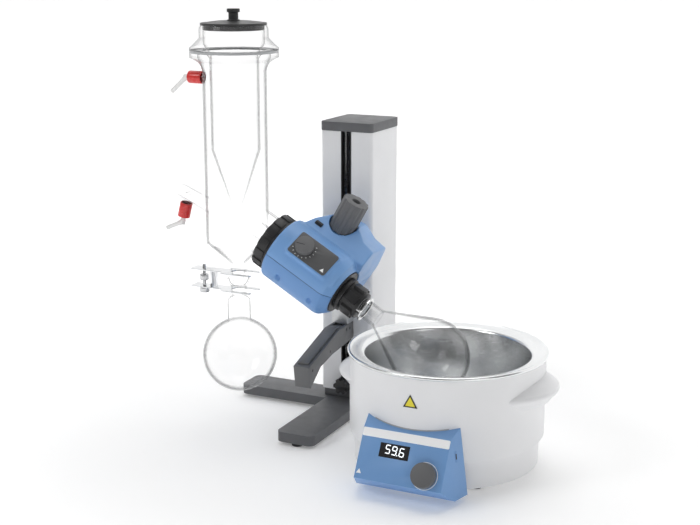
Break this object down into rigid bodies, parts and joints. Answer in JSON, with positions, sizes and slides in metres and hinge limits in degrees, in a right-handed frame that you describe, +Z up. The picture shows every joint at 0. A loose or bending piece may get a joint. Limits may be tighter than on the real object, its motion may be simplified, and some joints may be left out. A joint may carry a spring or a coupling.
{
  "type": "rotary evaporator",
  "caption": "Benchtop rotary evaporator: lift stand, tilting blue drive head, upright cold-finger glass condenser, round flasks and a heating bath with a dial panel.",
  "frame": {"origin": "on the bench, under the middle of the outline", "axes": "+Z up, -Y towards the operator and the bath panel, +X from the condenser to the bath"},
  "size_m": [0.729, 0.4804, 0.732],
  "materials": {
    "painted_dark": "dark grey powder coat",
    "white_coat": "white powder coat",
    "white_plastic": "white satin moulding",
    "blue_plastic": "light blue satin moulding",
    "grey_plastic": "dark grey fine texture",
    "black_plastic": "black moulding",
    "black_gloss": "glossy black window",
    "red_plastic": "red cap",
    "white_ptfe": "white fluoropolymer",
    "rubber": "black rubber",
    "steel": "brushed stainless steel",
    "chrome": "bright ground steel",
    "aluminium": "machined aluminium",
    "bronze": "sintered bronze",
    "glass": "clear borosilicate glass",
    "board": "green circuit board"
  },
  "bodies": {
    "stand": {"base_frame": "painted_dark", "base_feet": "rubber", "column_plinth": "painted_dark", "lift_column": "white_coat", "column_cap": "grey_plastic", "guide_rods": "chrome", "gas_spring_cylinder": "black_plastic", "slot_seals": "rubber", "power_inlet": "black_plastic"},
    "end_stop": {"end_stop_block": "grey_plastic"},
    "end_stop_screw": {"end_stop_knob": "black_plastic"},
    "carriage": {"carriage_block": "painted_dark", "guide_bushes": "bronze", "gas_spring_rod": "chrome", "tilt_shaft": "chrome", "handle_body": "grey_plastic", "handle_screws": "chrome"},
    "lever": {"release_lever": "grey_plastic"},
    "head": {"housing_upper": "blue_plastic", "housing_lower": "blue_plastic", "housing_screws": "chrome", "tilt_hub": "aluminium", "panel_plate": "grey_plastic", "control_board": "board", "drive_motor": "steel", "drive_belt": "rubber", "shaft_bearings": "chrome", "front_flange": "black_plastic", "rear_collar": "black_plastic", "condenser_seal": "white_ptfe", "condenser_jacket": "glass", "cold_finger": "glass", "flange_seal": "rubber", "hose_caps": "red_plastic", "hose_nozzles": "white_ptfe", "joint_clamp": "steel", "receiving_flask": "glass"},
    "motor_rotor": {"motor_pulley": "aluminium"},
    "spindle": {"hollow_shaft": "aluminium", "driven_pulley": "aluminium", "vapor_duct": "glass", "flask_hub": "black_plastic", "flask_clip": "chrome", "evaporating_flask": "glass"},
    "union": {"union_nut": "black_plastic"},
    "speed_dial": {"speed_knob": "grey_plastic"},
    "tilt_clamp": {"tilt_clamp_knob": "grey_plastic"},
    "button": {"lock_button": "black_plastic"},
    "joint_screw": {"clamp_screw": "steel"},
    "lid": {"condenser_lid": "black_plastic"},
    "stopcock": {"stopcock_key": "glass"},
    "bath": {"bath_shell": "white_plastic", "bath_base": "white_plastic", "bath_vessel": "steel", "heating_plate": "aluminium", "panel_housing": "blue_plastic", "display_window": "black_gloss", "bath_feet": "rubber", "bath_inlet": "black_plastic"},
    "bath_dial": {"bath_knob": "grey_plastic"}
  },
  "joints": [
    {"name": "lift_slide", "type": "slide", "parent": "stand", "child": "carriage", "axis": [0, 0, 1], "range_m": [0, 0.13]},
    {"name": "end_stop_slide", "type": "slide", "parent": "stand", "child": "end_stop", "axis": [0, 0, 1], "range_m": [0, 0.04]},
    {"name": "end_stop_turn", "type": "hinge", "parent": "end_stop", "child": "end_stop_screw", "pos_m": [-0.07965, 0.1071, 0.0534], "axis": [0, -1, 0], "range_deg": [0, 360]},
    {"name": "lever_press", "type": "hinge", "parent": "carriage", "child": "lever", "pos_m": [-0.07965, 0.0905, 0.165], "axis": [1, 0, 0], "range_deg": [0, 4], "stiffness_Nm_per_rad": 3, "springref_deg": -8.59},
    {"name": "head_tilt", "type": "hinge", "parent": "carriage", "child": "head", "pos_m": [-0.07965, 0.0605, 0.3043], "axis": [0, 1, 0], "range_deg": [-12, 3]},
    {"name": "spindle_spin", "type": "hinge", "parent": "head", "child": "spindle", "pos_m": [-0.07965, -0.0245, 0.3043], "axis": [0.866, 0, -0.5], "continuous": true},
    {"name": "motor_spin", "type": "hinge", "parent": "head", "child": "motor_rotor", "pos_m": [-0.08336, 0.0655, 0.36187], "axis": [0.866, 0, -0.5], "continuous": true},
    {"name": "union_nut_turn", "type": "hinge", "parent": "head", "child": "union", "pos_m": [-0.1446, -0.0245, 0.3418], "axis": [-0.866, 0, 0.5], "range_deg": [0, 360]},
    {"name": "speed_knob_turn", "type": "hinge", "parent": "head", "child": "speed_dial", "pos_m": [-0.06531, -0.06607, 0.34914], "axis": [0.371, -0.6704, 0.6426], "range_deg": [-225, 45]},
    {"name": "tilt_clamp_turn", "type": "hinge", "parent": "head", "child": "tilt_clamp", "pos_m": [-0.03465, 0.0325, 0.38224], "axis": [0.5, 0, 0.866], "range_deg": [0, 360]},
    {"name": "lock_button_press", "type": "slide", "parent": "head", "child": "button", "axis": [-0.5, 0, -0.866], "range_m": [0, 0.0015], "stiffness_N_per_m": 400, "springref_m": -0.0015},
    {"name": "clamp_screw_turn", "type": "hinge", "parent": "head", "child": "joint_screw", "pos_m": [-0.28765, -0.0245, 0.26], "axis": [0, 0, 1], "range_deg": [0, 360]},
    {"name": "lid_lift", "type": "slide", "parent": "head", "child": "lid", "axis": [0, 0, 1], "range_m": [0, 0.08]},
    {"name": "stopcock_turn", "type": "hinge", "parent": "head", "child": "stopcock", "pos_m": [-0.323, -0.0245, 0.41485], "axis": [-0.9225, 0, 0.3859], "range_deg": [-90, 90]},
    {"name": "bath_slide", "type": "slide", "parent": "stand", "child": "bath", "axis": [0, -1, 0], "range_m": [0, 0.03]},
    {"name": "bath_knob_turn", "type": "hinge", "parent": "bath", "child": "bath_dial", "pos_m": [0.21635, -0.22564, 0.05529], "axis": [0, -0.8763, 0.4818], "continuous": true}
  ],
  "couplings": [
    {"joint": "motor_spin", "follows": "spindle_spin", "ratio": 3.6}
  ]
}
